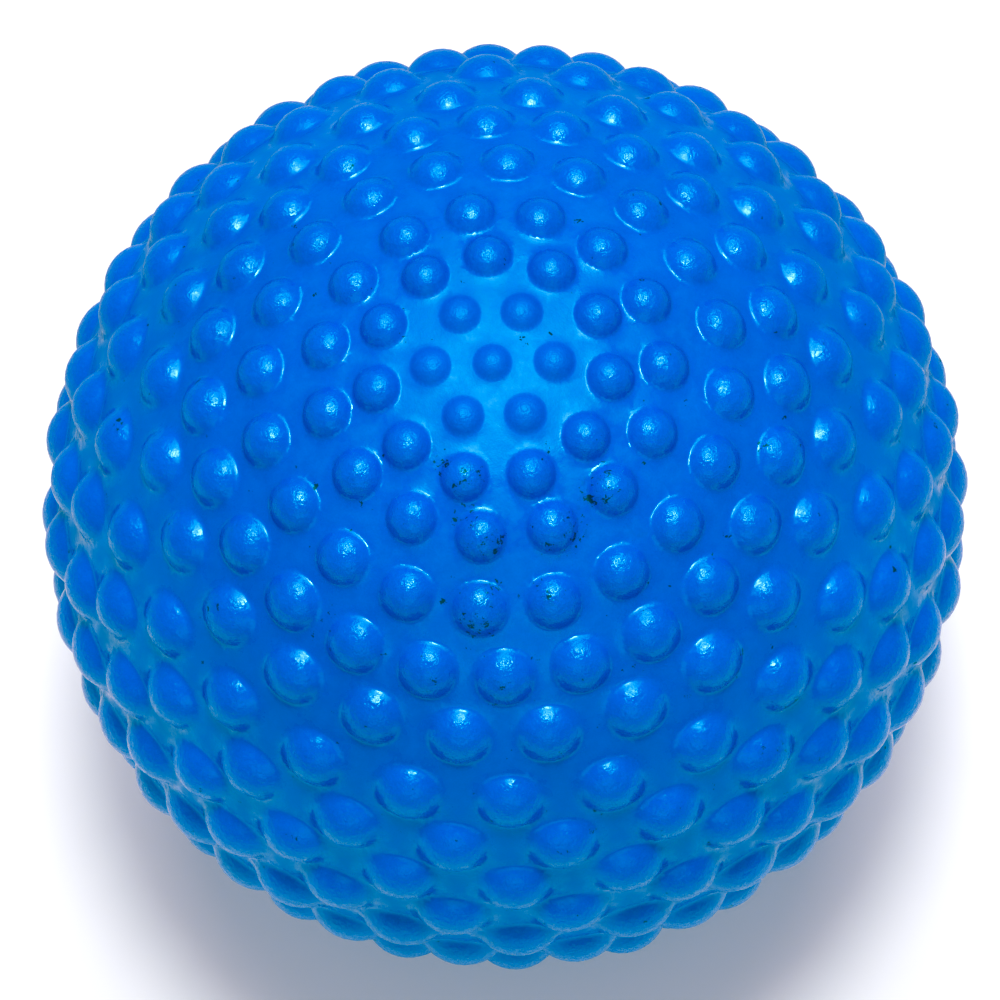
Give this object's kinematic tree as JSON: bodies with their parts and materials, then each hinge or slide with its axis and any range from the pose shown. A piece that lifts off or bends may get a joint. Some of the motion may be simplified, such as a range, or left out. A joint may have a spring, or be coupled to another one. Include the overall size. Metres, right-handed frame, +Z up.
{
  "type": "massage ball",
  "caption": "Hollow soft massage ball with rows of dome nubs all over, a bonded valve seat at one pole and a pull-out stopper plug.",
  "frame": {"origin": "on the floor under the ball's centre, where the ball rests with its valve pole down", "axes": "+Z up through the valve pole and the pole with the smallest nubs; +X through a nub of the row above the equator"},
  "size_m": [0.0996, 0.0996, 0.0981],
  "materials": {
    "skin_pvc": "soft PVC, semi-gloss azure blue",
    "valve_rubber": "soft PVC, satin, darker blue",
    "plug_plastic": "polyethylene, satin off-white"
  },
  "bodies": {
    "ball": {"ball_skin": "skin_pvc", "valve_seat": "valve_rubber"},
    "plug": {"valve_plug": "plug_plastic"}
  },
  "joints": [
    {"name": "plug_pull", "type": "slide", "parent": "ball", "child": "plug", "axis": [0, 0, -1], "range_m": [0, 0.02]}
  ]
}
